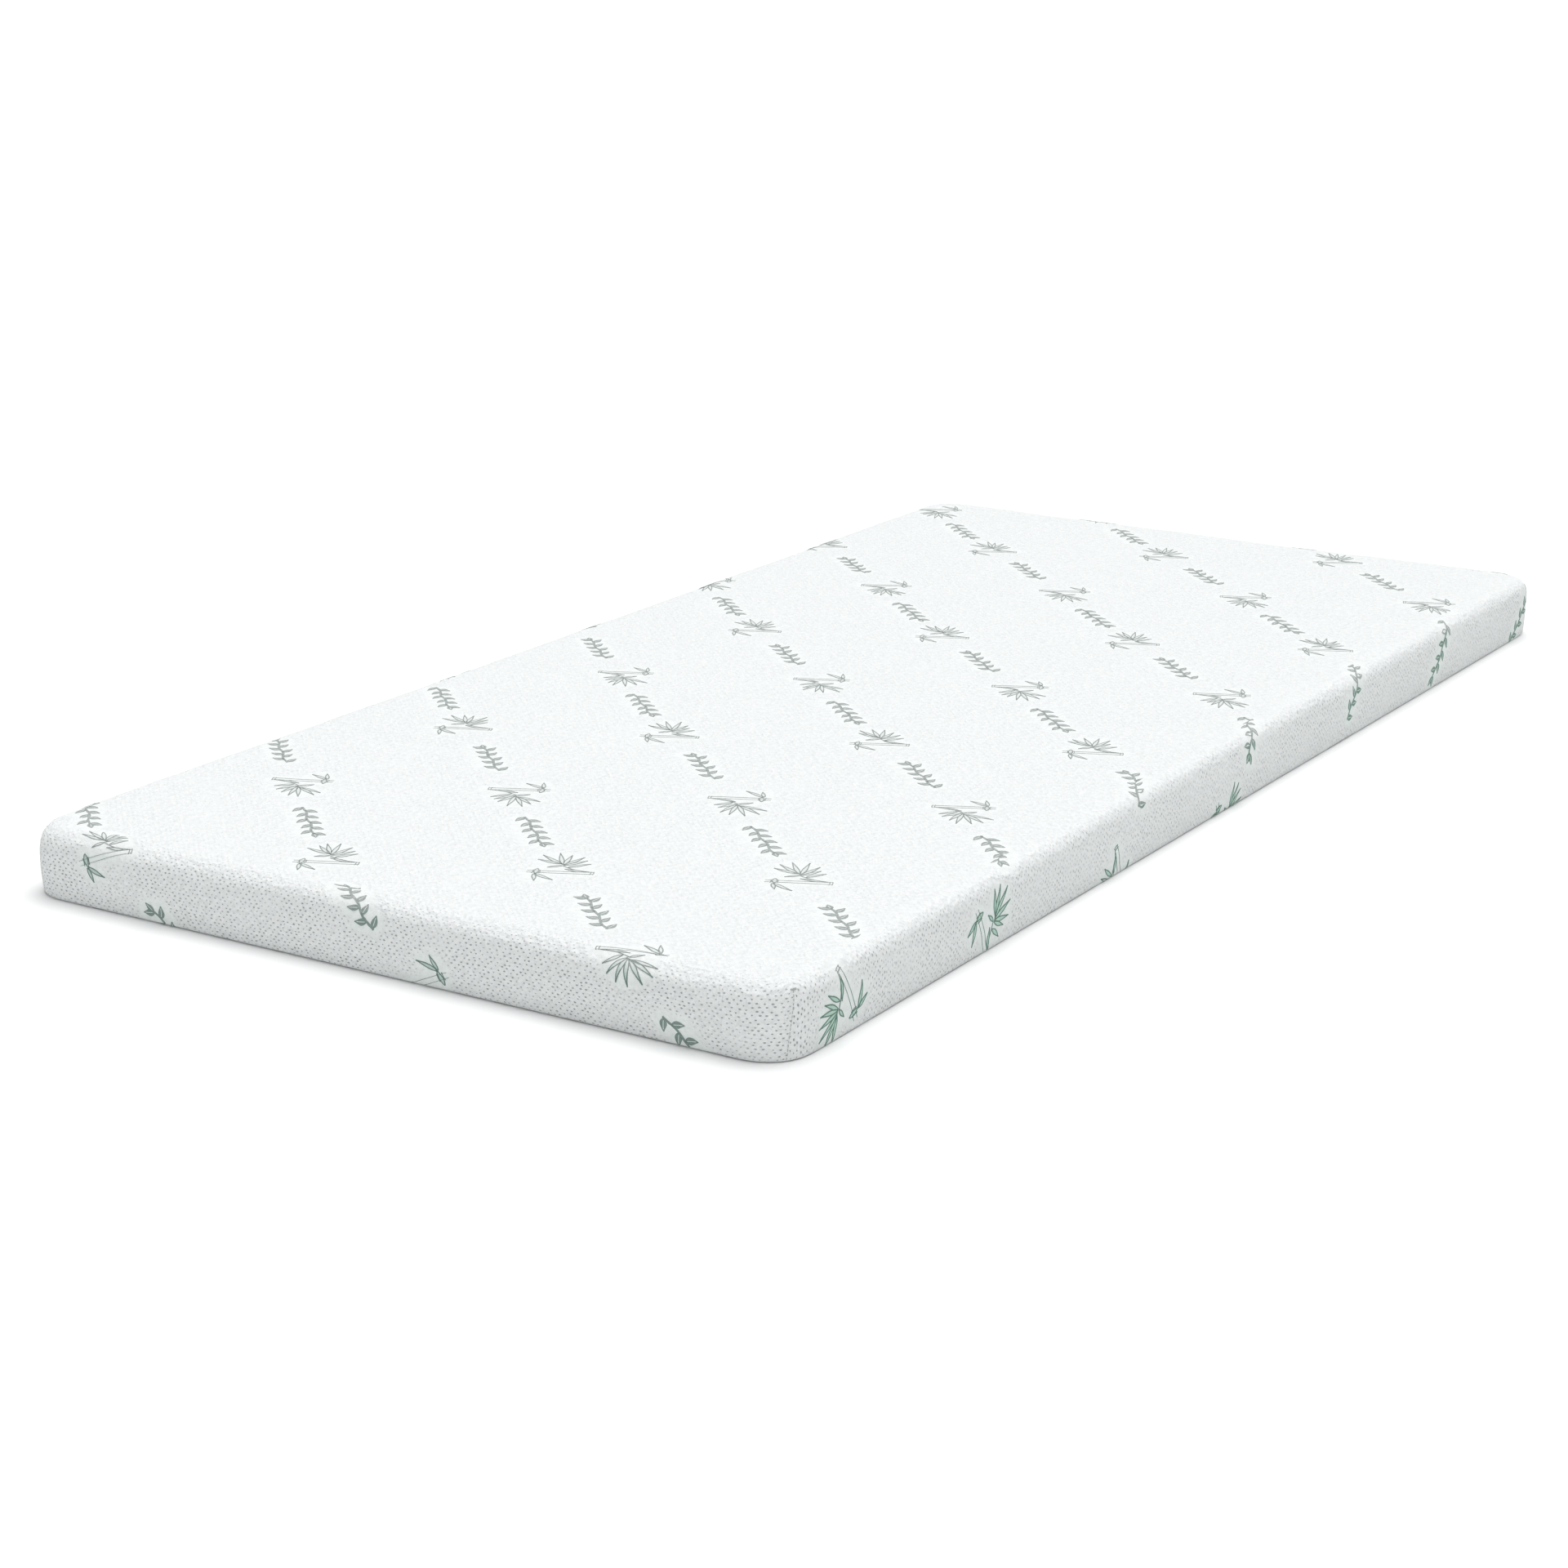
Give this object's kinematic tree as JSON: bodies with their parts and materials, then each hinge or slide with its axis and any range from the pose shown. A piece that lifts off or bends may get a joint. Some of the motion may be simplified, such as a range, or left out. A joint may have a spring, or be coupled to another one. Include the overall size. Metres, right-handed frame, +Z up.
{
  "type": "memory foam mattress",
  "caption": "Thin single mattress: two bonded foam layers in a white knit cover with rounded edges, sewn corners and a zip across one end.",
  "frame": {"origin": "centre of the base, on the surface that the mattress lies on", "axes": "+X across the width, +Y along the length towards the zipped end, +Z up through the thickness"},
  "size_m": [0.9204, 1.8838, 0.0762],
  "materials": {
    "cover_knit": "matte",
    "base_fabric": "matte",
    "binding_tape": "matte",
    "seam_thread": "matte",
    "liner_knit": "matte",
    "memory_foam": "matte",
    "support_foam": "matte",
    "zip_tape": "matte",
    "zip_nylon": "satin",
    "zip_metal": "satin",
    "label_satin": "satin"
  },
  "bodies": {
    "mattress": {"cover_top": "cover_knit", "cover_bottom": "base_fabric", "bottom_seam_binding": "binding_tape", "corner_seam_front_left": "seam_thread", "corner_seam_front_right": "seam_thread", "corner_seam_rear_left": "seam_thread", "corner_seam_rear_right": "seam_thread", "inner_liner": "liner_knit", "memory_foam_layer": "memory_foam", "support_foam_layer": "support_foam", "zip_tape_upper": "zip_tape", "zip_tape_lower": "zip_tape", "zip_teeth_upper": "zip_nylon", "zip_teeth_lower": "zip_nylon", "zip_top_stops": "zip_metal", "zip_bottom_stop": "zip_metal", "zip_stitching_upper": "seam_thread", "zip_stitching_lower": "seam_thread", "care_label": "label_satin"},
    "zip_slider": {"zip_slider_body": "zip_metal", "zip_slider_bail": "zip_metal"},
    "zip_pull_tab": {"zip_pull": "zip_metal"}
  },
  "joints": [
    {"name": "zip_slide", "type": "slide", "parent": "mattress", "child": "zip_slider", "axis": [-1, 0, 0], "range_m": [0, 0.78], "deforming": ["zip_teeth_upper", "zip_teeth_lower"]},
    {"name": "pull_hinge", "type": "hinge", "parent": "zip_slider", "child": "zip_pull_tab", "pos_m": [0.39, 0.9419, 0.028], "axis": [0, 0, -1], "range_deg": [0, 180]}
  ]
}
